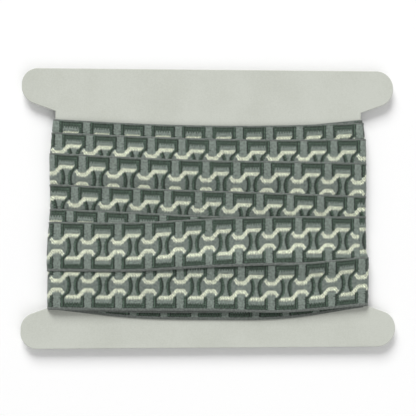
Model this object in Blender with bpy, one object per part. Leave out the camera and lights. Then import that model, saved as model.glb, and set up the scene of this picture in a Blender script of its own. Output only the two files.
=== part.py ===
# Braid trim wound flat round an H-shaped card, lying on its back.
# X runs along the front of the winding, Y up the card and Z up from the surface it lies on.
# Sizes are in millimetres, and become metres where a mesh is made.
import math
from collections import namedtuple

import bmesh
import bpy
import numpy as np
from numpy.lib.stride_tricks import sliding_window_view

MM = 0.001
GAP = 0.3                       # clearance between neighbouring pieces

# The card: a flat H whose waist takes the winding
CARD_HALF_LENGTH = 100.0
CARD_HALF_HEIGHT = 74.5
CARD_THICKNESS = 1.5
WAIST_HALF_LENGTH = 82.2
NOTCH_HALF_HEIGHT = 51.6
LOBE_SLOPE = 0.355              # how fast a lobe's inner edge falls back from the waist
ARC_STEP = math.radians(12)

Lobe = namedtuple("Lobe", "side end edge_radius inner_radius")
LOBES = (
    Lobe(side=1, end=1, edge_radius=9.3, inner_radius=9.5),
    Lobe(side=-1, end=1, edge_radius=8.5, inner_radius=9.5),
    Lobe(side=-1, end=-1, edge_radius=8.5, inner_radius=8.5),
    Lobe(side=1, end=-1, edge_radius=10.0, inner_radius=8.9),
)

# The braid
BRAID_WIDTH = 25.4
BRAID_THICKNESS = 1.0
LAYER_THICKNESS = 0.85          # what each turn adds to the winding, pulled tight
BEND_SQUEEZE = 0.92             # layers pressed thinner where they turn round the card's edge
SQUEEZE_LENGTH = 20.0           # the length along a run in which they ease out again
REST_HEIGHT = 3.7               # from the surface up to the card's back face
START_X = 36.0                  # the inner end of the braid, on the back of the card
CUT_END_X = 79.5                # the outer end of the braid, on the front
LOOSE_START_X = -78.0           # where the last front run comes round the card's edge
CROSSING_X = 39.0               # right of here the last run is tucked under the run below it

# Height on the card of each front run's top edge, at five even places from the left to the right
# end of the waist. The inner runs climb the card, and the outer ones come down over them.
Turn = namedtuple("Turn", "name left left_mid centre right_mid right")
TURNS = (
    Turn("inner_1", -28.2, -32.8, -34.0, -33.5, -27.7),
    Turn("inner_2", -28.3, -29.9, -30.2, -29.3, -27.1),
    Turn("inner_3", -27.6, -28.0, -28.2, -28.0, -26.4),
    Turn("inner_4", -10.0, -10.0, -10.0, -9.5, -9.0),
    Turn("inner_5", 9.0, 9.0, 9.0, 9.5, 10.0),
    Turn("inner_6", 28.0, 27.5, 27.5, 28.0, 29.0),
    Turn("inner_7", 45.6, 42.6, 42.2, 43.6, 47.5),
    Turn("outer_1", 46.7, 44.7, 43.8, 44.2, 45.9),
    Turn("outer_2", 39.6, 37.9, 36.6, 36.3, 36.9),
    Turn("outer_3", 28.5, 26.3, 24.9, 24.5, 23.9),
    Turn("outer_4", 12.0, 10.1, 8.7, 7.5, 6.0),
    Turn("outer_5", -0.9, -2.8, -4.7, -5.3, -4.8),
    Turn("outer_6", -28.1, -28.9, -29.2, -30.1, -26.7),
    Turn("outer_7", -7.9, -8.2, -6.1, -4.9, -5.2),
)
START, LAST = -1, len(TURNS) - 1
FIRST_OUTER = [turn.name for turn in TURNS].index("outer_1")

# How finely the winding is worked out and faceted
HEIGHT_STEP = 0.25
GRID_MARGIN = 10.0              # how far the worked heights reach below the notch
DRAPE = 2.5                     # how far a strap eases to either side of a step under it
RUN_STEPS = 16
OWN_PLACE = 2.0                 # an even place this close to one of the loose end's is left out
BEND_ANGLES = (0, 30, 60)
RISER = 0.2                     # how far a strap's edge leans
LOOK_ASIDE = 0.3                # how far to either side of an edge its two heights are taken
SAME_EDGE = 0.6                 # edges closer than this are one edge
STRIP_PARTS = (1 / 3, 2 / 3)
SAME_POINT = 0.0005

# Principled colours
CARD_COLOUR = (0.60, 0.63, 0.55, 1.0)
BRAID_COLOUR = (0.16, 0.19, 0.17, 1.0)

Station = namedtuple("Station", "run x edge_x edge_z angle")


def clear_scene():
    for item in list(bpy.data.objects):
        bpy.data.objects.remove(item, do_unlink=True)


def make_material(name, colour, roughness):
    material = bpy.data.materials.new(name)
    material.use_nodes = True
    shader = material.node_tree.nodes["Principled BSDF"]
    shader.inputs["Base Color"].default_value = colour
    shader.inputs["Roughness"].default_value = roughness
    shader.inputs["Metallic"].default_value = 0.0
    return material


def add_object(name, mesh_builder, material):
    """Turn a finished bmesh in millimetres into an object in metres."""
    bmesh.ops.scale(mesh_builder, vec=(MM, MM, MM), verts=mesh_builder.verts)
    bmesh.ops.recalc_face_normals(mesh_builder, faces=mesh_builder.faces)
    mesh = bpy.data.meshes.new(name)
    mesh_builder.to_mesh(mesh)
    mesh_builder.free()
    mesh.materials.append(material)
    item = bpy.data.objects.new(name, mesh)
    bpy.context.scene.collection.objects.link(item)
    return item


def rounded_corner(before, corner, after, radius):
    """Points along the arc that rounds a corner between its two neighbours."""
    before, corner, after = (np.array(point, dtype=float) for point in (before, corner, after))
    towards_before = (before - corner) / np.linalg.norm(before - corner)
    towards_after = (after - corner) / np.linalg.norm(after - corner)
    half_angle = math.acos(np.clip(towards_before @ towards_after, -1, 1)) / 2
    middle = towards_before + towards_after
    centre = corner + middle / np.linalg.norm(middle) * radius / math.sin(half_angle)
    first = corner + towards_before * radius / math.tan(half_angle) - centre
    turn = math.pi - 2 * half_angle
    if first[0] * middle[1] - first[1] * middle[0] > 0:
        turn = -turn
    steps = max(2, math.ceil(abs(turn) / ARC_STEP))
    arc = []
    for step in range(steps + 1):
        angle = turn * step / steps
        arc.append(centre + (first[0] * math.cos(angle) - first[1] * math.sin(angle),
                             first[0] * math.sin(angle) + first[1] * math.cos(angle)))
    return arc


def lobe_corners(lobe):
    """Outer corner, inner corner and notch corner of one lobe, with the radius of each."""
    depth = CARD_HALF_LENGTH - WAIST_HALF_LENGTH
    inner_height = NOTCH_HALF_HEIGHT + LOBE_SLOPE * depth
    return [
        ((lobe.side * CARD_HALF_LENGTH, lobe.end * CARD_HALF_HEIGHT), lobe.edge_radius),
        ((lobe.side * CARD_HALF_LENGTH, lobe.end * inner_height), lobe.inner_radius),
        ((lobe.side * WAIST_HALF_LENGTH, lobe.end * NOTCH_HALF_HEIGHT), 0.0),
    ]


def card_outline():
    """The H, anticlockwise from the right waist up round the top to the bottom."""
    corners = []
    for lobe in LOBES:
        three = lobe_corners(lobe)
        corners += three[::-1] if lobe.side == lobe.end else three
    points = []
    for index, (corner, radius) in enumerate(corners):
        if radius == 0.0:
            points.append(corner)
            continue
        before, after = corners[index - 1][0], corners[(index + 1) % len(corners)][0]
        points += rounded_corner(before, corner, after, radius)
    return points


def build_card(material):
    builder = bmesh.new()
    bottom = [builder.verts.new((x, y, REST_HEIGHT)) for x, y in card_outline()]
    face = builder.faces.new(bottom)
    extruded = bmesh.ops.extrude_face_region(builder, geom=[face])
    top = [item for item in extruded["geom"] if isinstance(item, bmesh.types.BMVert)]
    bmesh.ops.translate(builder, vec=(0, 0, CARD_THICKNESS), verts=top)
    return add_object("card", builder, material)


def smooth_through(values, place):
    """A smooth curve through even values, read at a place from 0 to 1."""
    padded = [2 * values[0] - values[1], *values, 2 * values[-1] - values[-2]]
    scaled = min(max(place, 0.0), 1.0) * (len(values) - 1)
    index = min(int(scaled), len(values) - 2)
    t = scaled - index
    before, start, end, after = padded[index:index + 4]
    return 0.5 * (2 * start + (end - before) * t
                  + (2 * before - 5 * start + 4 * end - after) * t ** 2
                  + (3 * start - before - 3 * end + after) * t ** 3)


def top_edge(turn, station):
    """Height on the card of a turn's top edge. On the back it slants to the next turn's start."""
    place = (station.x + WAIST_HALF_LENGTH) / (2 * WAIST_HALF_LENGTH)
    if station.run == "front":
        return smooth_through(TURNS[turn][1:], place)
    left = TURNS[turn + 1].left
    right = left if turn == START else TURNS[turn].right
    return left + (right - left) * place


def bottom_edge(turn, station):
    return top_edge(turn, station) - BRAID_WIDTH


def last_run_is_tucked(station):
    return station.run == "front" and station.x > CROSSING_X


def turns_at(station):
    """The turns that pass a station, innermost first."""
    if station.run == "back":
        return list(range(0 if station.x > START_X else START, LAST))
    turns = list(range(LAST + 1))
    if station.x > CUT_END_X + GAP:
        turns.remove(LAST)
    elif last_run_is_tucked(station):
        turns[-2:] = [LAST, LAST - 1]
    return turns


def layer_thickness(station):
    from_bend = (WAIST_HALF_LENGTH - abs(station.x)) / SQUEEZE_LENGTH
    eased = min(max(from_bend, 0.0), 1.0)
    eased = eased * eased * (3 - 2 * eased)
    return LAYER_THICKNESS * (BEND_SQUEEZE + (1 - BEND_SQUEEZE) * eased)


def draped_over(heights):
    """The underside of a strap that eases over the steps of what lies under it."""
    reach = round(DRAPE / HEIGHT_STEP)
    raised = sliding_window_view(np.pad(heights, reach, mode="edge"), 2 * reach + 1).max(axis=1)
    return sliding_window_view(np.pad(raised, reach, mode="edge"), 2 * reach + 1).mean(axis=1)


GRID = np.arange(-NOTCH_HALF_HEIGHT - GRID_MARGIN, NOTCH_HALF_HEIGHT, HEIGHT_STEP)


def lay_turns(station):
    """Outer face of the whole winding over the grid, and the outer face of the last run."""
    field = np.zeros(len(GRID))
    last_face = None
    for turn in turns_at(station):
        top = top_edge(turn, station)
        covered = (GRID <= top) & (GRID >= top - BRAID_WIDTH)
        face = draped_over(field[covered]) + layer_thickness(station)
        field[covered] = face
        if station.run == "front" and turn == LAST:
            last_face = np.interp(GRID, GRID[covered], face)
    return field, last_face


def in_pocket(station):
    """Whether the winding leaves room here for the loose end."""
    return station.run == "front" and LOOSE_START_X - GAP <= station.x <= CUT_END_X + GAP


def loose_low_edge(station):
    """Lower edge of the loose end that shows: its own, or the run that it is tucked under."""
    own = bottom_edge(LAST, station)
    if last_run_is_tucked(station):
        return max(own, top_edge(LAST - 1, station) + GAP)
    return own


def front_lines(station):
    """The exposed edges down the front, top to bottom. A hidden one shares its neighbour's place."""
    tops = [top_edge(turn, station) for turn in range(len(TURNS))]
    if station.x > CUT_END_X + GAP:
        last_top, last_low = tops[LAST - 2], tops[LAST - 1]
    elif in_pocket(station):
        last_top, last_low = tops[LAST] + GAP, loose_low_edge(station) - GAP
    else:
        last_top, last_low = tops[LAST], bottom_edge(LAST, station)
    low = bottom_edge(LAST - 1, station)
    rim = min(tops) - BRAID_WIDTH
    lines = [max(tops[FIRST_OUTER - 1], tops[FIRST_OUTER])]
    lines += tops[FIRST_OUTER:LAST - 2]
    lines += [max(tops[LAST - 2], last_top), last_top, last_low, low, low]
    return lines + [min(low, bottom_edge(1, station)), rim]


def back_lines(station):
    """The same for the back, where the last two runs cross."""
    tops = [top_edge(turn, station) for turn in turns_at(station)]
    *others, crossed, last = tops
    upper = max(crossed, last)
    low = min(crossed, last) - BRAID_WIDTH
    rim = min(tops) - BRAID_WIDTH
    return others[-5:] + [upper, upper, last, last - BRAID_WIDTH, low, rim, rim]


def merged(lines):
    """Give edges that nearly meet the place of the lowest of them."""
    places = list(lines)
    for index in range(len(places) - 2, -1, -1):
        if places[index] - places[index + 1] < SAME_EDGE:
            places[index] = places[index + 1]
    return places


def skin_heights(station):
    """Height of the winding's skin over the grid, with the loose end's pocket sunk in."""
    field, last_face = lay_turns(station)
    if in_pocket(station):
        top = top_edge(LAST, station) + GAP
        low = loose_low_edge(station) - GAP
        sunk = (GRID <= top) & (GRID >= low)
        field[sunk] = last_face[sunk] - BRAID_THICKNESS - GAP
    if station.angle < 0 and math.sin(station.angle) < 0:
        field = np.minimum(field, -REST_HEIGHT / math.sin(station.angle))
    return field


def height_at(field, place):
    return max(field[int(round((place - GRID[0]) / HEIGHT_STEP))], GAP)


def skin_profile(station):
    """Points (place up the card, height off it) down the winding's outer face."""
    lines = merged(front_lines(station) if station.run == "front" else back_lines(station))
    field = skin_heights(station)
    points = []
    for index, line in enumerate(lines):
        above = (line + RISER / 2, height_at(field, line + LOOK_ASIDE))
        below = (line - RISER / 2, height_at(field, line - LOOK_ASIDE))
        shared = index + 1 < len(lines) and lines[index + 1] == line
        points += [above, above if shared else below]
        if index + 1 == len(lines):
            break
        following = lines[index + 1]
        for part in STRIP_PARTS:
            place = line + (following - line) * part
            points.append(above if shared else (place, height_at(field, place)))
    return points


def place_point(station, along, height):
    """Put a profile point in space, clear of the lobe beside the notch."""
    x = station.edge_x + height * math.cos(station.angle)
    z = station.edge_z + height * math.sin(station.angle)
    beside_lobe = abs(z) < CARD_THICKNESS / 2 + 0.9 * GAP and abs(x) > WAIST_HALF_LENGTH
    if beside_lobe:
        lobe_edge = NOTCH_HALF_HEIGHT + LOBE_SLOPE * (abs(x) - WAIST_HALF_LENGTH)
        along = max(along, GAP - lobe_edge)
    return (x, along, z + CARD_THICKNESS / 2 + REST_HEIGHT)


def bend(run, side, end, angles):
    """Stations round one long corner of the waist's edge."""
    return [Station(run, side * WAIST_HALF_LENGTH, side * WAIST_HALF_LENGTH,
                    end * CARD_THICKNESS / 2, math.radians(angle)) for angle in angles]


def run_places():
    return [float(x) for x in np.linspace(-WAIST_HALF_LENGTH, WAIST_HALF_LENGTH, RUN_STEPS + 1)]


def front_places():
    """Places along the front, with one at each end of the loose end and just beyond it."""
    extra = [LOOSE_START_X, LOOSE_START_X - GAP, LOOSE_START_X - 2 * GAP,
             CUT_END_X, CUT_END_X + GAP, CUT_END_X + 2 * GAP]
    kept = [place for place in run_places() if min(abs(place - own) for own in extra) > OWN_PLACE]
    return sorted(kept + extra)


def stations():
    """Once round the card, from the middle of its left edge over the front and back again."""
    half = CARD_THICKNESS / 2
    turned = sorted(BEND_ANGLES, reverse=True)
    front = [Station("front", x, x, half, math.pi / 2) for x in front_places()]
    back = [Station("back", x, x, -half, -math.pi / 2) for x in reversed(run_places())]
    route = bend("front", -1, 1, [180 - angle for angle in BEND_ANGLES])
    route += front
    route += bend("front", 1, 1, turned)
    route += bend("back", 1, -1, [-angle for angle in BEND_ANGLES])
    route += back
    route += bend("back", -1, -1, [angle - 180 for angle in turned])
    route += bend("back", -1, 1, [180])
    return route


def mesh_from_rings(rings, closed):
    """Faces between neighbouring rings of points, capped at the ends or closed on themselves."""
    builder = bmesh.new()
    rows = [[builder.verts.new(point) for point in ring] for ring in rings]
    count = len(rows[0])
    for row, following in zip(rows, rows[1:]):
        for index in range(count):
            after = (index + 1) % count
            builder.faces.new((row[index], row[after], following[after], following[index]))
    if not closed:
        builder.faces.new(rows[0])
        builder.faces.new(rows[-1])
    bmesh.ops.remove_doubles(builder, verts=builder.verts, dist=SAME_POINT)
    bmesh.ops.triangulate(builder, faces=builder.faces)
    return builder


def build_winding(material):
    rings = []
    for station in stations():
        rings.append([place_point(station, *point) for point in skin_profile(station)])
    return add_object("braid_roll", mesh_from_rings(rings, closed=True), material)


def build_loose_end(material):
    rings = []
    for x in front_places():
        if not LOOSE_START_X <= x <= CUT_END_X:
            continue
        station = Station("front", x, x, CARD_THICKNESS / 2, math.pi / 2)
        last_face = lay_turns(station)[1]
        top, low = top_edge(LAST, station), loose_low_edge(station)
        places = [top + (low - top) * part for part in (0.0, *STRIP_PARTS, 1.0)]
        outer = [(place, height_at(last_face, place)) for place in places]
        inner = [(place, height - BRAID_THICKNESS) for place, height in outer]
        rings.append([place_point(station, *point) for point in outer + inner[::-1]])
    return add_object("loose_end", mesh_from_rings(rings, closed=False), material)


def main():
    clear_scene()
    card = make_material("pale card", CARD_COLOUR, 0.75)
    braid = make_material("grey green braid", BRAID_COLOUR, 0.85)
    build_card(card)
    build_winding(braid)
    build_loose_end(braid)


main()
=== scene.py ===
import math

import bmesh
import bpy
import numpy as np
from mathutils import Matrix, Vector
from numpy.lib.stride_tricks import sliding_window_view


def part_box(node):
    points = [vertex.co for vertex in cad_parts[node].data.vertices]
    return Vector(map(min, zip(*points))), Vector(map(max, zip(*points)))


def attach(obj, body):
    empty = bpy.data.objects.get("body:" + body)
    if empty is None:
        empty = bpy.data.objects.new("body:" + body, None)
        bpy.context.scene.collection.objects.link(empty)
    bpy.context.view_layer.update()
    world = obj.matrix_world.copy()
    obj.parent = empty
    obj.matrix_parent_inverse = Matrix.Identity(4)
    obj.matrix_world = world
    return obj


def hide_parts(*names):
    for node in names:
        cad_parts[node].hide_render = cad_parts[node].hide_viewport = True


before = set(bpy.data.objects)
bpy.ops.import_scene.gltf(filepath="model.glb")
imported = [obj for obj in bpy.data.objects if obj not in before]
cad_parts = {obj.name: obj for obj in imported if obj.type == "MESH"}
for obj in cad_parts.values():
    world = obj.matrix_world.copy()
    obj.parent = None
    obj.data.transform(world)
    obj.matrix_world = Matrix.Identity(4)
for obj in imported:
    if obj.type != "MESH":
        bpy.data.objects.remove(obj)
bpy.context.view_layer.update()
print("frame loaded")

mm = 0.001
cardLow, cardHigh = (np.array(corner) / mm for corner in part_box("card"))
restHeight = float(cardLow[2])                      # from the floor up to the card's back
cardThickness = float(cardHigh[2] - cardLow[2])
cardMiddle = restHeight + cardThickness / 2

# The waist and lobes of the card, in mm, as the model has them
cardShape = {
    "halfLength": float(cardHigh[0]),
    "halfHeight": float(cardHigh[1]),
    "waistHalfLength": 82.2,
    "notchHalfHeight": 51.6,
    "lobeSlope": 0.355,
    "arcStep": 4.0,             # degrees
    "edgeRounding": 0.3,
    "edgeSegments": 3,
    "lobes": [                  # side, end, outer corner radius, inner corner radius
        (1, 1, 9.3, 9.5),
        (-1, 1, 8.5, 9.5),
        (-1, -1, 8.5, 8.5),
        (1, -1, 10.0, 8.9),
    ],
}

# How the braid is wound, in mm
winding = {
    "width": 26.0,
    "topLift": 0.35,            # how far a top edge is rolled out past the heights below
    "layer": 0.85,              # what a turn adds to the pile
    "thickness": 0.78,          # the strap itself
    "bendSqueeze": 0.92,        # share of a layer that is left round the card's edges
    "squeezeLength": 20.0,      # the layers thin out this far from an edge
    "drape": 2.5,               # reach of the slope where a strap crosses a step
    "startX": 36.0,             # the braid starts here, on the back
    "cutEndX": 80.4,
    "crossingX": 39.0,          # right of here the last run is tucked under its neighbour
    "gridStep": 0.25,           # across the braid, where the pile is counted
    "runStep": 2.0,             # from station to station along a run
    "bendStep": 15,             # and in degrees round an edge
    "smoothing": 8,             # rounds of easing along a strap
    "sideSmoothing": 9,         # grid steps that the reach of a side is averaged over
    "clearance": 0.3,           # past the cut end, and over the card's faces beside its edge
    "offLobe": 0.1,
    "offFloor": 0.16,           # before the relief is added
    "overhang": 10.0,           # how far below the waist a run may lie
    "acrossSamples": 34,
    "tightness": (0.55, 1.2),   # least and most that a side is pulled in or let out
}
touching = 0.01                 # what counts as nothing, in mm or as a part of a direction

# Height on the card of each front run's top edge, at five even places from left to right
runTops = {
    "inner1": (-28.2, -32.8, -34.0, -33.5, -27.7),
    "inner2": (-28.3, -29.9, -30.2, -29.3, -27.1),
    "inner3": (-27.6, -28.0, -28.2, -28.0, -26.4),
    "inner4": (-10.0, -10.0, -10.0, -9.5, -9.0),
    "inner5": (9.0, 9.0, 9.0, 9.5, 10.0),
    "inner6": (28.0, 27.5, 27.5, 28.0, 29.0),
    "inner7": (45.6, 42.6, 42.2, 43.6, 47.5),
    "outer1": (46.7, 44.7, 43.8, 44.2, 45.9),
    "outer2": (39.6, 37.9, 36.6, 36.3, 36.9),
    "outer3": (28.5, 26.3, 24.9, 24.5, 23.9),
    "outer4": (12.0, 10.1, 8.7, 7.5, 6.0),
    "outer5": (-0.9, -2.8, -4.7, -5.3, -4.8),
    "outer6": (-28.1, -28.9, -29.2, -30.1, -26.7),
    "outer7": (-7.9, -8.2, -6.1, -4.9, -5.2),
}
turnNames = list(runTops)
last = len(turnNames) - 1       # turn -1 is the start of the braid, on the back

# Where the figure falls on each exposed run: the place of a cream bar, and the length of a repeat
figurePlaces = {
    "inner7": (3.0, 16.3),
    "outer1": (-8.6, 16.29),
    "outer2": (-6.8, 16.34),
    "outer3": (-10.4, 16.39),
    "outer4": (-14.4, 16.38),
    "outer5": (-0.6, 16.35),
    "outer6": (-7.9, 16.2),
    "outer7": (-8.75, 16.0),
}
unseenFigure = (0.0, 16.3)
repeatLength = 16.25            # as charted, before a run's own length of repeat is given to it

# How far the winding stands out from the card's two long edges: height on the card, reach
sideReach = {
    -1: [(-52.0, 4.2), (-43.0, 4.0), (-36.0, 3.5), (-31.0, 4.2), (-22.0, 4.0), (-16.0, 3.7), (-7.0, 3.0),
         (0.0, 2.5), (12.0, 2.7), (20.0, 2.8), (27.0, 3.0), (33.0, 2.2), (37.0, 2.0), (42.0, 1.6),
         (48.0, 1.0)],
    1: [(-52.0, 2.9), (-46.0, 3.2), (-33.0, 3.4), (-26.6, 3.6), (-24.5, 2.4), (-20.0, 2.2), (-3.0, 2.1),
        (10.0, 2.4), (19.0, 2.6), (32.0, 2.5), (36.0, 2.4), (40.0, 1.9), (43.0, 1.5), (47.0, 1.1)],
}


# A smooth curve through even values, at places from 0 to 1
def smoothThrough(values, place):
    padded = np.array([2 * values[0] - values[1], *values, 2 * values[-1] - values[-2]])
    scaled = np.clip(place, 0.0, 1.0) * (len(values) - 1)
    index = np.minimum(scaled.astype(int), len(values) - 2)
    t = scaled - index
    p0, p1, p2, p3 = (padded[index + k] for k in range(4))
    return 0.5 * (2 * p1 + (p2 - p0) * t + (2 * p0 - 5 * p1 + 4 * p2 - p3) * t ** 2
                  + (3 * p1 - p0 - 3 * p2 + p3) * t ** 3)


# Stations once round the card: run, x, the point on the card's edge and the outward angle
def makeRoute():
    waist = cardShape["waistHalfLength"]
    half = cardThickness / 2
    places = np.linspace(-waist, waist, round(2 * waist / winding["runStep"]) + 1)
    turned = list(range(0, 90, winding["bendStep"]))
    rows = [("front", -waist, -waist, half, 180 - angle) for angle in turned]
    rows += [("front", x, x, half, 90) for x in places]
    rows += [("front", waist, waist, half, angle) for angle in turned[::-1]]
    rows += [("back", waist, waist, -half, -angle) for angle in turned]
    rows += [("back", x, x, -half, -90) for x in places[::-1]]
    rows += [("back", -waist, -waist, -half, angle - 180) for angle in turned[::-1]]
    rows += [("back", -waist, -waist, half, -180)]
    return rows


route = makeRoute()
sideStation = next(index for index, row in enumerate(route) if row[0] == "back")
grid = np.arange(-cardShape["notchHalfHeight"] - winding["overhang"], cardShape["notchHalfHeight"],
                 winding["gridStep"])


def nameOf(turn):
    return turnNames[turn] if turn >= 0 else "innerStart"


# Height of one turn's top edge at every station. On the back it slants over to the next turn
def topEdges(turn):
    waist = cardShape["waistHalfLength"]
    tops = []
    for run, x, *_ in route:
        place = (x + waist) / (2 * waist)
        if run == "front":
            top = smoothThrough(runTops[nameOf(turn)], np.array(place)) if turn >= 0 else 0.0
            tops.append(float(top))
            continue
        left = runTops[nameOf(min(turn + 1, last))][0]
        right = left if turn < 0 else runTops[nameOf(turn)][-1]
        tops.append(left + (right - left) * place)
    return np.array(tops) + winding["topLift"]


# The turns that lie one over the other at a place, from the card outwards
def turnsAt(run, x):
    if run == "back":
        return list(range(0 if x > winding["startX"] else -1, last))
    turns = list(range(last + 1))
    if x > winding["cutEndX"] + winding["clearance"]:
        turns.remove(last)
    elif x > winding["crossingX"]:
        turns[-2:] = [last, last - 1]
    return turns


# A strap's inner face, easing over the steps of what lies under it
def drapedOver(heights):
    reach = round(winding["drape"] / winding["gridStep"])
    raised = sliding_window_view(np.pad(heights, reach, mode="edge"), 2 * reach + 1).max(axis=1)
    return sliding_window_view(np.pad(raised, reach, mode="edge"), 2 * reach + 1).mean(axis=1)


acrossSamples = np.linspace(0.0, winding["width"], winding["acrossSamples"])


# Lay the turns that pass a station, and keep each one's place and outer face
def pileUp(run, x, index, edges, layer):
    field = np.zeros(len(grid))
    faces = {}
    for turn in turnsAt(run, x):
        top = edges[turn][index]
        covered = (grid <= top) & (grid >= top - winding["width"])
        face = drapedOver(field[covered]) + layer
        field[covered] = face
        faces[turn] = (grid[covered], face)
    return field, faces


# For each side, the seen reach of the winding over that of the loose pile
def tightness(edges):
    shares = {}
    for side, index in ((-1, 0), (1, sideStation)):
        run, x, *_ = route[index]
        field, _ = pileUp(run, x, index, edges, winding["layer"] * winding["bendSqueeze"])
        heights, reaches = zip(*sideReach[side])
        share = np.interp(grid, heights, reaches) / np.maximum(field, touching)
        share = np.clip(share, *winding["tightness"])
        laid = field > 0
        share = np.interp(grid, grid[laid], share[laid])
        count = winding["sideSmoothing"]
        padded = np.pad(share, count // 2, mode="edge")
        shares[side] = np.convolve(padded, np.ones(count) / count, "valid")
    return shares


# Outer and inner heights of every turn over its width, station by station
def layWinding():
    edges = {turn: topEdges(turn) for turn in range(-1, last + 1)}
    shares = tightness(edges)
    outer = {turn: np.full((len(route), len(acrossSamples)), np.nan) for turn in edges}
    inner = {turn: np.full((len(route), len(acrossSamples)), np.nan) for turn in edges}
    for index, (run, x, edgeX, edgeZ, angle) in enumerate(route):
        eased = min(max((cardShape["waistHalfLength"] - abs(x)) / winding["squeezeLength"], 0.0), 1.0)
        eased = eased * eased * (3 - 2 * eased)
        layer = winding["layer"] * (winding["bendSqueeze"] + (1 - winding["bendSqueeze"]) * eased)
        field, faces = pileUp(run, x, index, edges, layer)
        pressed = 1.0 + (shares[1 if x > 0 else -1] - 1.0) * (1.0 - eased)
        downward = -math.sin(math.radians(angle))
        if downward > touching:
            pressed *= np.minimum(1.0, restHeight / downward / np.maximum(field * pressed, touching))
        for turn, (places, face) in faces.items():
            wanted = edges[turn][index] - acrossSamples
            share = np.interp(wanted, grid, pressed)
            height = np.interp(wanted, places, face)
            outer[turn][index] = height * share
            inner[turn][index] = (height - winding["thickness"] * layer / winding["layer"]) * share
    return edges, outer, inner


# Ease heights along the strap, with its two ends kept
def smoothed(heights):
    eased = heights.copy()
    for _ in range(winding["smoothing"]):
        between = (eased[:-2] + 2 * eased[1:-1] + eased[2:]) / 4
        eased[1:-1] = np.where(np.isnan(between), eased[1:-1], between)
    return eased


# Press the pile on the card's back flat against what it lies on
def pressFlat(outer, inner):
    pile = np.stack(list(outer.values()))
    for index, (*_, angle) in enumerate(route):
        downward = -math.sin(math.radians(angle))
        if downward > touching:
            share = min(1.0, restHeight / downward / np.nanmax(pile[:, index]))
            for heights in (*outer.values(), *inner.values()):
                heights[index] *= share


turnEdges, outerHeights, innerHeights = layWinding()
for heights in (outerHeights, innerHeights):
    for turn in heights:
        heights[turn] = smoothed(heights[turn])
pressFlat(outerHeights, innerHeights)
print("winding laid:", len(route), "stations")


# Places in mm for rows of stations (edgeX, edgeZ, angle) and columns of heights
def stationPoints(stations, tops, heights, across):
    edgeX, edgeZ, angle = stations
    x = edgeX[:, None] + heights * np.cos(angle)[:, None]
    z = edgeZ[:, None] + heights * np.sin(angle)[:, None]
    y = tops[:, None] - across[None, :] + np.zeros_like(heights)
    pastWaist = np.abs(x) - cardShape["waistHalfLength"]
    beside = (np.abs(z) < cardThickness / 2 + winding["clearance"]) & (pastWaist > 0)
    lobeEdge = cardShape["notchHalfHeight"] + cardShape["lobeSlope"] * pastWaist
    y = np.where(beside, np.maximum(y, winding["offLobe"] - lobeEdge), y)
    return np.stack([x, y, np.maximum(z + cardMiddle, winding["offFloor"])], axis=-1)


# The mesh of a strap, coarse on the turns that lie under the others
strapFineness = {
    "rowStep": repeatLength / 36,
    "columns": 46,
    "coarseRowStep": repeatLength / 12,
    "coarseColumns": 16,
    "edgeRadius": 0.3,
    "edgeDrop": (0.5, 0.18),    # shares of the thickness, at the edge and a third of the radius in
    "undersideColumns": (0.985, 0.75, 0.5, 0.25, 0.015),    # shares of the width
    "endStations": 9,           # the cut end falls among the last of them
}


# Length along the strap at each of its stations, 0 at the middle of the front run
def alongStrap(turn, first, final):
    middle = outerHeights[turn][first:final, len(acrossSamples) // 2] - winding["thickness"] / 2
    passed = route[first:final]
    stations = np.array([row[2:4] for row in passed])
    angles = np.radians([row[4] for row in passed])
    points = stations + middle[:, None] * np.stack([np.cos(angles), np.sin(angles)], axis=1)
    steps = np.linalg.norm(np.diff(points, axis=0), axis=1)
    along = np.concatenate([[0.0], np.cumsum(steps)])
    xs = np.array([row[1] for row in passed])
    flat = [i for i, row in enumerate(passed) if row[0] == "front" and row[4] == 90]
    return along - np.interp(0.0, xs[flat], along[flat]) if flat else along


# Place in the woven figure along the strap, carried on to the next turn's without a jump
def figureAlong(turn, along, first):
    barX, pitch = figurePlaces.get(nameOf(turn), unseenFigure)
    woven = (along - barX) * repeatLength / pitch
    backStart = next(i for i, row in enumerate(route) if row[0] == "back" and row[4] == -90)
    if turn == last or backStart - first >= len(along):
        return woven
    nextBar, nextPitch = figurePlaces.get(nameOf(turn + 1), unseenFigure)
    nextAlong = alongStrap(turn + 1, 0, len(route) if turn + 1 < last else cutStation)
    wanted = (nextAlong[0] - nextBar) * repeatLength / nextPitch
    gap = (wanted - woven[-1] + repeatLength / 2) % repeatLength - repeatLength / 2
    startAt = max(backStart - first, 0)
    run = np.clip((along - along[startAt]) / (along[-1] - along[startAt]), 0.0, 1.0)
    return woven + gap * run


cutStation = next(i for i, row in enumerate(route) if row[0] == "front" and row[1] > winding["cutEndX"])
startStation = next(i for i, row in enumerate(route) if row[0] == "back" and row[1] <= winding["startX"])


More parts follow.
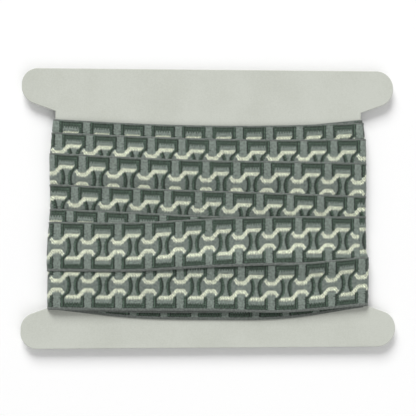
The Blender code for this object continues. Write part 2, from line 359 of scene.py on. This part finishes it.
# One turn of the braid as a closed strap. Its weave attribute holds the places along and across
# the braid, and whether a point is on the inner face
def buildStrap(name, turn, fine):
    first = startStation if turn < 0 else 0
    final = cutStation if turn == last else len(route)
    along = alongStrap(turn, first, final)
    woven = figureAlong(turn, along, first)
    outer = outerHeights[turn][first:final]
    inner = innerHeights[turn][first:final]
    end = along[-1]
    if turn == last:
        near = strapFineness["endStations"]
        end = np.interp(winding["cutEndX"], [row[1] for row in route[final - near:final]], along[-near:])
    step = strapFineness["rowStep" if fine else "coarseRowStep"]
    rows = np.linspace(along[0], end, max(2, round((end - along[0]) / step)) + 1)
    columns = strapFineness["columns" if fine else "coarseColumns"]
    width, radius = winding["width"], strapFineness["edgeRadius"]
    spread = np.linspace(radius, width - radius, columns)
    across = np.concatenate([[0.0, radius / 3], spread, [width - radius / 3, width]])
    drop = np.zeros(len(across))
    drop[[0, -1]], drop[[1, -2]] = strapFineness["edgeDrop"]
    under = np.array(strapFineness["undersideColumns"]) * width

    def onRows(values):
        return np.interp(rows, along, values)

    stations = [onRows(np.array([row[2] for row in route[first:final]])),
                onRows(np.array([row[3] for row in route[first:final]])),
                onRows(np.unwrap(np.radians([row[4] for row in route[first:final]])))]
    tops = onRows(turnEdges[turn][first:final])

    def onMesh(heights, places):
        atRows = np.stack([onRows(heights[:, k]) for k in range(heights.shape[1])], axis=1)
        return np.stack([np.interp(places, acrossSamples, row) for row in atRows])

    outerFace = onMesh(outer, across)
    innerAtOuter = onMesh(inner, across)
    outerFace = outerFace - drop[None, :] * (outerFace - innerAtOuter)
    innerFace = onMesh(inner, under)
    ring = np.concatenate([stationPoints(stations, tops, outerFace, across),
                           stationPoints(stations, tops, innerFace, under)], axis=1)
    rowCount, ringCount = ring.shape[:2]
    mesh = meshFromRings(name, ring.reshape(-1, 3) * mm, rowCount, ringCount)
    weave = np.zeros((rowCount, ringCount, 3))
    weave[:, :, 0] = onRows(woven)[:, None]
    weave[:, :, 1] = width / 2 - np.concatenate([across, under])[None, :]
    weave[:, len(across):, 2] = 1.0
    attribute = mesh.attributes.new("weave", "FLOAT_VECTOR", "POINT")
    attribute.data.foreach_set("vector", (weave * mm).reshape(-1))
    strap = bpy.data.objects.new(name, mesh)
    bpy.context.scene.collection.objects.link(strap)
    return strap, (end - along[0]) * mm


# A closed tube of quads from rows of rings, with both ends capped and its faces pointing outwards
def meshFromRings(name, points, rowCount, ringCount):
    index = np.arange(rowCount * ringCount).reshape(rowCount, ringCount)
    following = np.roll(index, -1, axis=1)
    quads = np.stack([index[:-1], following[:-1], following[1:], index[1:]], axis=-1).reshape(-1, 4)
    faces = quads.tolist() + [index[0][::-1].tolist(), index[-1].tolist()]
    mesh = bpy.data.meshes.new(name)
    mesh.from_pydata(points.tolist(), [], faces)
    mesh.shade_smooth()
    return mesh


# A number in a node tree, so that the figure can be written as arithmetic
class Wire:
    def __init__(self, tree, socket):
        self.tree, self.socket = tree, socket

    def op(self, operation, *others):
        node = self.tree.nodes.new("ShaderNodeMath")
        node.operation = operation
        for slot, value in zip(node.inputs, (self, *others)):
            if isinstance(value, Wire):
                self.tree.links.new(value.socket, slot)
            else:
                slot.default_value = value
        return Wire(self.tree, node.outputs[0])

    def __add__(self, other):
        return self.op("ADD", other)

    def __sub__(self, other):
        return self.op("SUBTRACT", other)

    def __mul__(self, other):
        return self.op("MULTIPLY", other)

    def __neg__(self):
        return self.op("MULTIPLY", -1.0)

    def atLeast(self, other):
        return self.op("MAXIMUM", other)

    def atMost(self, other):
        return self.op("MINIMUM", other)

    def wave(self, length):
        return (self * (2 * math.pi / length)).op("COSINE")

    # 0 below low, 1 above high
    def ramp(self, low, high):
        node = self.tree.nodes.new("ShaderNodeMapRange")
        node.interpolation_type = "SMOOTHSTEP"
        self.tree.links.new(self.socket, node.inputs["Value"])
        for name, value in (("From Min", low), ("From Max", high)):
            if isinstance(value, Wire):
                self.tree.links.new(value.socket, node.inputs[name])
            else:
                node.inputs[name].default_value = value
        return Wire(self.tree, node.outputs[0])


# The woven figure in mm, from the middle of a repeat and the middle of the braid. The lower half
# of the braid has the upper half's figure turned half round
figure = {
    "halfWidth": 13.0,
    "selvedge": (11.8, 0.25),       # where it starts, and how much farther out on the upper half
    "bracketFoot": 9.1,             # the dark bar's inner edge
    "leftLeg": (-6.2, -4.4),        # from, to
    "rightLeg": (4.2, 6.25),
    "legFoot": 5.2,
    "strokeAtMiddle": 1.7,
    "strokeBend": (0.045, 0.0012),  # by the square and by the fourth power of the height
    "otherBend": 0.045,
    "strokeHalfWidth": 1.04,
    "strokeTop": 6.7,
    "otherTop": 5.0,
    "creamBar": (5.0, 6.95),        # lower and upper edge
    "creamCup": (1.3, 3.45),
    "slantTop": (-6.58, 1.23),      # where it leaves the cup, and its slope
    "slantFoot": (-5.95, 1.07),
    "hookTop": (-9.8, -1.1),
    "hookFoot": (-10.35, -1.25),
    "hookEnd": (-12.06, 3.66, 1.075),   # a point on the line that ends it, and the line's slope
    "barEnd": (2.75, 5.0, 0.68),    # the same, with the line's lean from upright
    "creamWindow": -12.15,          # where a repeat of the cream starts
    "tooth": repeatLength / 12,     # the threads that the edges of the figure step over
    "toothDepth": 0.6,
    "shadedTeeth": 0.3,             # how much deeper they are on edges that face away from the light: painted shadow in the colour, shape in the relief
    "creamTooth": 0.55,             # these four are shares of toothDepth
    "barTooth": 0.3,
    "footTooth": 0.8,
    "strokeTooth": 0.4,
    "creamInset": 0.05,
    "hollow": (2.7, 0.05, 5.0),     # where it starts at mid height, bend, height
    "hollowGap": 2.4,               # how far the hollow runs past the cream's lower edge
}


# Signed distances of the woven figure, and of the painted shade on its legs and strokes, in mm and above
# 0 inside each colour
def figureNodes(along, across, toothAlong, away=1.0):
    side = across.op("SIGN")
    x = along * side
    y = across.op("ABSOLUTE")
    half = repeatLength / 2
    centred = x.op("WRAP", half, -half)
    wrapped = x.op("WRAP", figure["creamWindow"] + repeatLength, figure["creamWindow"])
    tooth = toothAlong.wave(figure["tooth"]) * figure["toothDepth"]

    def line(name, height):
        place, slope = figure[name]
        return (wrapped - place) * slope + height

    # Cream band: bar, slant, cup and hook
    barFoot, barTop = figure["creamBar"]
    cupFoot, cupTop = figure["creamCup"]
    upper = line("slantTop", cupTop).atMost(barTop).atLeast(cupTop).atLeast(line("hookTop", cupTop))
    lower = line("slantFoot", cupFoot).atMost(barFoot).atLeast(cupFoot).atLeast(line("hookFoot", cupFoot))
    endX, endY, endLean = figure["barEnd"]
    hookX, hookY, hookSlope = figure["hookEnd"]
    inset = figure["creamInset"]
    # Teeth reach deeper on edges that face away from the light: painted shadow in the colour, shape in
    # the relief
    fromAbove = tooth * (side * -figure["shadedTeeth"] + 1.0)
    fromBelow = tooth * (side * figure["shadedTeeth"] + 1.0)
    cream = upper - y + fromAbove * figure["creamTooth"] - inset
    cream = cream.atMost(y - lower + fromBelow * figure["creamTooth"] - inset)
    cream = cream.atMost((y - endY) * endLean + endX - wrapped)
    cream = cream.atMost((wrapped - hookX) * hookSlope + hookY - y)

    # Dark bracket: a bar on two legs
    selvedgePlace, selvedgeShift = figure["selvedge"]
    selvedge = y - (side * selvedgeShift + selvedgePlace)
    inBraid = -selvedge + tooth * figure["barTooth"]
    bar = inBraid.atMost(y - figure["bracketFoot"] + fromBelow * figure["footTooth"])
    bar = bar.atMost(centred - figure["leftLeg"][0]).atMost(-centred + figure["rightLeg"][1])
    legRange = inBraid.atMost(y - figure["legFoot"])
    leftLeg = legRange.atMost(centred - figure["leftLeg"][0]).atMost(-centred + figure["leftLeg"][1])
    rightLeg = legRange.atMost(centred - figure["rightLeg"][0]).atMost(-centred + figure["rightLeg"][1])

    # Dark curved strokes to either side of the waisted middle
    squared = y * y
    bend, sharpBend = figure["strokeBend"]
    rightOff = centred - (squared * squared * sharpBend + squared * bend + figure["strokeAtMiddle"])
    leftOff = centred + (squared * figure["otherBend"] + figure["strokeAtMiddle"])
    halfWidth = figure["strokeHalfWidth"]
    rightStroke = (-rightOff.op("ABSOLUTE") + halfWidth).atMost(-y + figure["strokeTop"])
    leftStroke = (-leftOff.op("ABSOLUTE") + halfWidth).atMost(-y + figure["otherTop"])
    toothAcross = y.wave(figure["tooth"]) * figure["toothDepth"]
    narrow = leftLeg.atLeast(rightLeg).atLeast(rightStroke).atLeast(leftStroke)
    narrow = narrow + toothAcross * figure["strokeTooth"]
    dark = bar.atLeast(narrow)

    # Painted shade: the side of each leg and stroke that lies away from the light
    away = side * away
    leftMiddle, rightMiddle = (sum(figure[name]) / 2 for name in ("leftLeg", "rightLeg"))
    shaded = (rightStroke.atMost(rightOff * away)).atLeast(leftStroke.atMost(leftOff * away))
    shaded = shaded.atLeast(leftLeg.atMost((centred - leftMiddle) * away))
    shaded = shaded.atLeast(rightLeg.atMost((centred - rightMiddle) * away))

    # The plain middle between two waists
    hollowX, hollowBend, hollowTop = figure["hollow"]
    hollow = (centred.op("ABSOLUTE") - (squared * hollowBend + hollowX)).atMost(-y + hollowTop)
    hollow = hollow.atMost(lower - y + figure["hollowGap"])
    return {"cream": cream, "dark": dark, "narrow": narrow, "shaded": shaded, "hollow": hollow,
            "selvedge": selvedge, "teeth": tooth + toothAcross}


# Along and across the braid in mm, from the metres of the weave attribute
def weaveCoordinates(tree, vector):
    parts = tree.nodes.new("ShaderNodeSeparateXYZ")
    tree.links.new(vector, parts.inputs[0])
    along = Wire(tree, parts.outputs[0]) * (1 / mm)
    across = Wire(tree, parts.outputs[1]) * (figure["halfWidth"] / (winding["width"] / 2) / mm)
    return along, across, Wire(tree, parts.outputs[2]) * (1 / mm)


# The inputs of the tree, in mm but for the seed
relief = {
    "Depth": 0.16,              # of the figure below the grey ground
    "Rib depth": 0.05,
    "Softness": 0.4,            # half the width of the slope between them
    "Unevenness": 0.05,
    "Seed": 7.0,
}
creamSpread = 0.1               # mm that the cream's part of the relief reaches past its colour
unevenScale = 260.0             # lumps to a metre


# Geometry Nodes that raise the ground and the ribs of a strap a little, so that its figure shows
def makeReliefTree(material):
    tree = bpy.data.node_groups.new("wovenRelief", "GeometryNodeTree")
    tree.interface.new_socket("Geometry", in_out="INPUT", socket_type="NodeSocketGeometry")
    for name in relief:
        tree.interface.new_socket(name, in_out="INPUT", socket_type="NodeSocketFloat")
    tree.interface.new_socket("Geometry", in_out="OUTPUT", socket_type="NodeSocketGeometry")
    groupIn = tree.nodes.new("NodeGroupInput")
    groupOut = tree.nodes.new("NodeGroupOutput")
    named = tree.nodes.new("GeometryNodeInputNamedAttribute")
    named.data_type = "FLOAT_VECTOR"
    named.inputs["Name"].default_value = "weave"
    along, across, underside = weaveCoordinates(tree, named.outputs["Attribute"])
    masks = figureNodes(along, across, along)
    depth, ribDepth, softness, unevenness, seed = (Wire(tree, groupIn.outputs[name]) for name in relief)

    sunken = masks["dark"].atLeast(masks["cream"] + creamSpread).atLeast(masks["selvedge"])
    ground = -sunken.ramp(-softness, softness) + 1.0
    ribs = (-along.wave(figure["tooth"]) + 1.0) * 0.5
    noise = tree.nodes.new("ShaderNodeTexNoise")
    noise.noise_dimensions = "4D"
    noise.inputs["Scale"].default_value = unevenScale
    tree.links.new(seed.socket, noise.inputs["W"])
    uneven = (-Wire(tree, noise.outputs[0]) + 1.0) * unevenness
    height = (ground * depth + ribs * ribDepth + uneven) * (-underside + 1.0) * mm

    normal = tree.nodes.new("GeometryNodeInputNormal")
    offset = tree.nodes.new("ShaderNodeVectorMath")
    offset.operation = "SCALE"
    tree.links.new(normal.outputs[0], offset.inputs[0])
    tree.links.new(height.socket, offset.inputs["Scale"])
    move = tree.nodes.new("GeometryNodeSetPosition")
    tree.links.new(groupIn.outputs[0], move.inputs["Geometry"])
    tree.links.new(offset.outputs[0], move.inputs["Offset"])
    realize = tree.nodes.new("GeometryNodeRealizeInstances")
    tree.links.new(move.outputs[0], realize.inputs[0])
    paint = tree.nodes.new("GeometryNodeSetMaterial")
    paint.inputs["Material"].default_value = material
    tree.links.new(realize.outputs[0], paint.inputs["Geometry"])
    tree.links.new(paint.outputs[0], groupOut.inputs[0])
    return tree


# Run a Geometry Nodes tree on an object and keep its result as a plain mesh
def applyTree(item, tree, values):
    modifier = item.modifiers.new("nodes", "NODES")
    modifier.node_group = tree
    for socket in tree.interface.items_tree:
        if socket.in_out == "INPUT" and socket.name in values:
            modifier[socket.identifier] = values[socket.name]
    graph = bpy.context.evaluated_depsgraph_get()
    mesh = bpy.data.meshes.new_from_object(item.evaluated_get(graph))
    item.modifiers.remove(modifier)
    item.data = mesh


# Screen colour, 0 to 255, as linear light
def linear(*values):
    scaled = [value / 255 for value in values]
    return tuple(v / 12.92 if v <= 0.04045 else ((v + 0.055) / 1.055) ** 2.4 for v in scaled)


yarns = {                       # screen colours
    "ground": (119, 130, 122),
    "hollow": (112, 122, 115),
    "selvedge": (102, 108, 103),
    "green": (57, 75, 62),
    # litGreen is painted light: the lit side of legs and strokes
    "litGreen": (70, 91, 76),
    "darkGreen": (32, 43, 35),
    "cream": (229, 234, 213),
    "creamShade": (172, 178, 150),
    "underside": (120, 127, 122),
    "pickLength": repeatLength / 48,    # mm, like the lengths below where metres aren't named
    "stepAcross": 0.4,
    "turnover": 0.03,           # half the breadth in which the side with painted shade changes over, in metres
    "edgeSoftness": 0.12,
    "shadeSoftness": 0.3,
    "rim": (-0.1, 0.7),         # each green shape is darker near its edge, fading over this range
    "fuzz": 2.4,                # how far the grain frays that fade
    "cord": 0.9,
    "twillSlope": 0.8,
    "twillShade": (0.4, 0.95),
    "grainScale": 900.0,        # to a metre
    "grainDetail": 3.0,
    "blotchScale": 60.0,
    "grain": 1.7,               # how much each of these darkens or lightens a colour
    "blotch": 0.25,
    "pickShade": 0.1,
    "brightness": 0.93,
    "ribHeight": 0.6,           # shares of the bump
    "cordHeight": 0.25,
    "floatHeight": 0.7,
    "grainHeight": 0.5,
    "bumpStrength": 0.55,
    "bumpDepth": 0.00012,       # metres
    "roughness": 0.78,
    "sheen": 0.25,
}


def mixColour(tree, factor, first, second):
    node = tree.nodes.new("ShaderNodeMix")
    node.data_type = "RGBA"
    tree.links.new(factor.socket, node.inputs[0])
    for slot, value in ((node.inputs[6], first), (node.inputs[7], second)):
        if isinstance(value, tuple):
            slot.default_value = (*linear(*value), 1.0)
        else:
            tree.links.new(value, slot)
    return node.outputs[2]


def makeBraidMaterial():
    material = bpy.data.materials.new("wovenBraid")
    material.use_nodes = True
    tree = material.node_tree
    shader = tree.nodes["Principled BSDF"]
    named = tree.nodes.new("ShaderNodeAttribute")
    named.attribute_name = "weave"
    along, across, underside = weaveCoordinates(tree, named.outputs["Vector"])

    # The figure changes colour only from thread to thread
    pick, stepAcross = yarns["pickLength"], yarns["stepAcross"]
    stepped = ((along * (1 / pick)).op("FLOOR") + 0.5) * pick
    steppedAcross = ((across * (1 / stepAcross)).op("FLOOR") + 0.5) * stepAcross
    place = tree.nodes.new("ShaderNodeTexCoord")
    sides = tree.nodes.new("ShaderNodeSeparateXYZ")
    tree.links.new(place.outputs["Object"], sides.inputs[0])
    # Which side of the legs and strokes gets the painted shade, changing over at the middle
    away = Wire(tree, sides.outputs[0]).ramp(-yarns["turnover"], yarns["turnover"]) * -2.0 + 1.0
    masks = figureNodes(stepped, steppedAcross, along, away)

    noise = tree.nodes.new("ShaderNodeTexNoise")
    noise.inputs["Scale"].default_value = yarns["grainScale"]
    noise.inputs["Detail"].default_value = yarns["grainDetail"]
    tree.links.new(named.outputs["Vector"], noise.inputs["Vector"])
    grain = Wire(tree, noise.outputs[0])
    blotch = tree.nodes.new("ShaderNodeTexNoise")
    blotch.inputs["Scale"].default_value = yarns["blotchScale"]
    tree.links.new(named.outputs["Vector"], blotch.inputs["Vector"])
    patchy = Wire(tree, blotch.outputs[0])

    ribs = along.wave(pick) * 0.5 + 0.5
    cords = across.wave(yarns["cord"]) * 0.5 + 0.5
    twill = (along + across * yarns["twillSlope"]).wave(figure["tooth"]) * 0.5 + 0.5

    sharp = yarns["edgeSoftness"]
    colour = mixColour(tree, masks["hollow"].ramp(-sharp, sharp), yarns["ground"], yarns["hollow"])
    colour = mixColour(tree, masks["selvedge"].ramp(-sharp, sharp), colour, yarns["selvedge"])
    darkMask = masks["dark"].ramp(-sharp, sharp)
    colour = mixColour(tree, darkMask, colour, yarns["green"])
    # Painted light: legs and strokes take a lighter green, which stays on their lit side
    colour = mixColour(tree, masks["narrow"].ramp(-sharp, sharp), colour, yarns["litGreen"])
    rim = (masks["dark"] + masks["teeth"] + (grain - 0.5) * yarns["fuzz"]).ramp(*yarns["rim"])
    colour = mixColour(tree, darkMask * (-rim + 1.0), colour, yarns["darkGreen"])
    # Painted shade in dark green on the side of each leg and stroke away from the light
    shadedMask = masks["shaded"].ramp(-sharp, yarns["shadeSoftness"])
    colour = mixColour(tree, shadedMask, colour, yarns["darkGreen"])
    creamMask = masks["cream"].ramp(-sharp, sharp)
    colour = mixColour(tree, creamMask, colour, yarns["cream"])
    # Painted shade in the grooves between the slanting floats of the cream
    colour = mixColour(tree, creamMask * twill.ramp(*yarns["twillShade"]), colour, yarns["creamShade"])
    colour = mixColour(tree, underside, colour, yarns["underside"])
    shade = (grain - 0.5) * yarns["grain"] + (patchy - 0.5) * yarns["blotch"]
    shade = shade + ribs * yarns["pickShade"] + yarns["brightness"]
    tint = tree.nodes.new("ShaderNodeVectorMath")
    tint.operation = "SCALE"
    tree.links.new(colour, tint.inputs[0])
    tree.links.new(shade.socket, tint.inputs["Scale"])
    tree.links.new(tint.outputs[0], shader.inputs["Base Color"])

    # Raised threads: ribs all over, cords beside the cream, slanting floats on it
    threads = ribs * yarns["ribHeight"] + cords * yarns["cordHeight"] * (-creamMask + 1.0)
    threads = threads + creamMask * twill * yarns["floatHeight"] + grain * yarns["grainHeight"]
    bump = tree.nodes.new("ShaderNodeBump")
    bump.inputs["Strength"].default_value = yarns["bumpStrength"]
    bump.inputs["Distance"].default_value = yarns["bumpDepth"]
    tree.links.new(threads.socket, bump.inputs["Height"])
    tree.links.new(bump.outputs[0], shader.inputs["Normal"])
    shader.inputs["Roughness"].default_value = yarns["roughness"]
    shader.inputs["Sheen Weight"].default_value = yarns["sheen"]
    return material


paper = {                       # screen colours
    "face": (202, 205, 196),
    "fibre": (192, 195, 185),
    "cloudScale": 45.0,         # to a metre
    "cloudDetail": 5.0,
    "fibreScale": 1400.0,
    "fibreDetail": 4.0,
    "mottle": (0.35, 0.7),      # the noise that turns face to fibre
    "bumpStrength": 0.25,
    "bumpDepth": 0.00005,       # metres
    "roughness": 0.62,
}


def makeCardMaterial():
    material = bpy.data.materials.new("paleCard")
    material.use_nodes = True
    tree = material.node_tree
    shader = tree.nodes["Principled BSDF"]
    place = tree.nodes.new("ShaderNodeTexCoord")
    cloud = tree.nodes.new("ShaderNodeTexNoise")
    cloud.inputs["Scale"].default_value = paper["cloudScale"]
    cloud.inputs["Detail"].default_value = paper["cloudDetail"]
    fibre = tree.nodes.new("ShaderNodeTexNoise")
    fibre.inputs["Scale"].default_value = paper["fibreScale"]
    fibre.inputs["Detail"].default_value = paper["fibreDetail"]
    for node in (cloud, fibre):
        tree.links.new(place.outputs["Object"], node.inputs["Vector"])
    mottled = Wire(tree, cloud.outputs[0]) * 0.5 + Wire(tree, fibre.outputs[0]) * 0.5
    colour = mixColour(tree, mottled.ramp(*paper["mottle"]), paper["face"], paper["fibre"])
    tree.links.new(colour, shader.inputs["Base Color"])
    bump = tree.nodes.new("ShaderNodeBump")
    bump.inputs["Strength"].default_value = paper["bumpStrength"]
    bump.inputs["Distance"].default_value = paper["bumpDepth"]
    tree.links.new(fibre.outputs[0], bump.inputs["Height"])
    tree.links.new(bump.outputs[0], shader.inputs["Normal"])
    shader.inputs["Roughness"].default_value = paper["roughness"]
    return material


# Points along the arc that rounds one corner of the card
def roundedCorner(before, corner, after, radius):
    before, corner, after = (Vector(point) for point in (before, corner, after))
    toBefore, toAfter = (before - corner).normalized(), (after - corner).normalized()
    halfAngle = toBefore.angle(toAfter) / 2
    centre = corner + (toBefore + toAfter).normalized() * radius / math.sin(halfAngle)
    first = corner + toBefore * radius / math.tan(halfAngle) - centre
    final = corner + toAfter * radius / math.tan(halfAngle) - centre
    swing = first.angle_signed(final) * -1
    steps = max(2, round(abs(math.degrees(swing)) / cardShape["arcStep"]))
    return [centre + Matrix.Rotation(swing * step / steps, 2) @ first for step in range(steps + 1)]


def cardOutline():
    corners = []
    depth = cardShape["halfLength"] - cardShape["waistHalfLength"]
    innerHeight = cardShape["notchHalfHeight"] + cardShape["lobeSlope"] * depth
    for side, end, outerRadius, innerRadius in cardShape["lobes"]:
        three = [((side * cardShape["halfLength"], end * cardShape["halfHeight"]), outerRadius),
                 ((side * cardShape["halfLength"], end * innerHeight), innerRadius),
                 ((side * cardShape["waistHalfLength"], end * cardShape["notchHalfHeight"]), 0.0)]
        corners += three[::-1] if side == end else three
    points = []
    for index, (corner, radius) in enumerate(corners):
        if radius:
            after = corners[(index + 1) % len(corners)][0]
            points += roundedCorner(corners[index - 1][0], corner, after, radius)
        else:
            points.append(Vector(corner))
    return points


# The card with its die-cut edges slightly rounded
def buildCard():
    builder = bmesh.new()
    loop = [builder.verts.new((point[0] * mm, point[1] * mm, restHeight * mm)) for point in cardOutline()]
    face = builder.faces.new(loop)
    raised = bmesh.ops.extrude_face_region(builder, geom=[face])["geom"]
    lifted = [item for item in raised if isinstance(item, bmesh.types.BMVert)]
    bmesh.ops.translate(builder, vec=(0, 0, cardThickness * mm), verts=lifted)
    bmesh.ops.recalc_face_normals(builder, faces=builder.faces)
    rims = [edge for edge in builder.edges
            if abs(edge.verts[0].co.z - edge.verts[1].co.z) < touching * mm]
    bmesh.ops.bevel(builder, geom=rims, offset=cardShape["edgeRounding"] * mm,
                    segments=cardShape["edgeSegments"], profile=0.5, affect="EDGES", clamp_overlap=True)
    mesh = bpy.data.meshes.new("cardBoard")
    builder.to_mesh(mesh)
    builder.free()
    mesh.materials.append(makeCardMaterial())
    board = bpy.data.objects.new("cardBoard", mesh)
    bpy.context.scene.collection.objects.link(board)
    return board


# The camera looks down on the card as the photograph does
view = {
    "lens": 97.04,
    "yaw": 3.792,               # degrees
    "pitch": -2.4075,
    "roll": 0.0858,
    "offset": (0.90, 0.0, -600.0),      # of the card's front face from the camera, in mm
    "clipStart": 0.01,
}


def placeCamera():
    turnY = Matrix.Rotation(math.radians(view["yaw"]), 3, "Y")
    turnX = Matrix.Rotation(math.radians(view["pitch"]), 3, "X")
    turnZ = Matrix.Rotation(math.radians(view["roll"]), 3, "Z")
    seen = (turnZ @ turnX @ turnY).to_4x4()
    seen.translation = Vector(view["offset"]) * mm
    face = Matrix.Translation((0, 0, -float(cardHigh[2]) * mm))
    camera = bpy.data.objects.new("camera", bpy.data.cameras.new("camera"))
    camera.data.lens = view["lens"]
    camera.data.clip_start = view["clipStart"]
    bpy.context.scene.collection.objects.link(camera)
    camera.matrix_world = (seen @ face).inverted()
    bpy.context.scene.camera = camera


studio = {                      # places and sizes in metres, powers in watts
    "floorColour": (255, 255, 255),
    "floorSize": 3.0,
    "floorRoughness": 0.9,
    "worldStrength": 0.35,
    "keyPlace": (-0.8, 3.0, 2.3),
    "keySize": 2.0,
    "keyPower": 135.0,
    "fillPlace": (0.35, -0.9, 1.0),
    "fillSize": 1.2,
    "fillPower": 5.0,
}


def addLamp(name, place, size, power):
    lamp = bpy.data.lights.new(name, "AREA")
    lamp.size = size
    lamp.energy = power
    item = bpy.data.objects.new(name, lamp)
    item.location = place
    item.rotation_euler = (Vector(place) * -1).to_track_quat("-Z", "Y").to_euler()
    bpy.context.scene.collection.objects.link(item)


def makeStudio():
    builder = bmesh.new()
    bmesh.ops.create_grid(builder, x_segments=1, y_segments=1, size=studio["floorSize"] / 2)
    mesh = bpy.data.meshes.new("floor")
    builder.to_mesh(mesh)
    builder.free()
    material = bpy.data.materials.new("paleFloor")
    material.use_nodes = True
    shader = material.node_tree.nodes["Principled BSDF"]
    shader.inputs["Base Color"].default_value = (*linear(*studio["floorColour"]), 1.0)
    shader.inputs["Roughness"].default_value = studio["floorRoughness"]
    mesh.materials.append(material)
    floor = bpy.data.objects.new("floor", mesh)
    bpy.context.scene.collection.objects.link(floor)
    addLamp("key", studio["keyPlace"], studio["keySize"], studio["keyPower"])
    addLamp("fill", studio["fillPlace"], studio["fillSize"], studio["fillPower"])
    world = bpy.data.worlds.new("studio")
    world.use_nodes = True
    world.node_tree.nodes["Background"].inputs["Color"].default_value = (1.0, 1.0, 1.0, 1.0)
    world.node_tree.nodes["Background"].inputs["Strength"].default_value = studio["worldStrength"]
    bpy.context.scene.world = world
    bpy.context.scene.view_settings.view_transform = "Standard"


placeCamera()
makeStudio()
print("camera and studio placed")

board = buildCard()
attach(board, "root")
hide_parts("card")
print("card made")

braid = makeBraidMaterial()
reliefTree = makeReliefTree(braid)
for turn in range(-1, last + 1):
    turnName = nameOf(turn)
    fine = turnName.startswith("outer")
    strap, strapLength = buildStrap(turnName, turn, fine)
    if fine:
        applyTree(strap, reliefTree, relief)
    else:
        strap.data.materials.append(braid)
    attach(strap, "root")
    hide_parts("loose_end" if turn == last else "braid_roll")
    print("strap", turnName, round(strapLength, 3), "m,", len(strap.data.polygons), "faces")
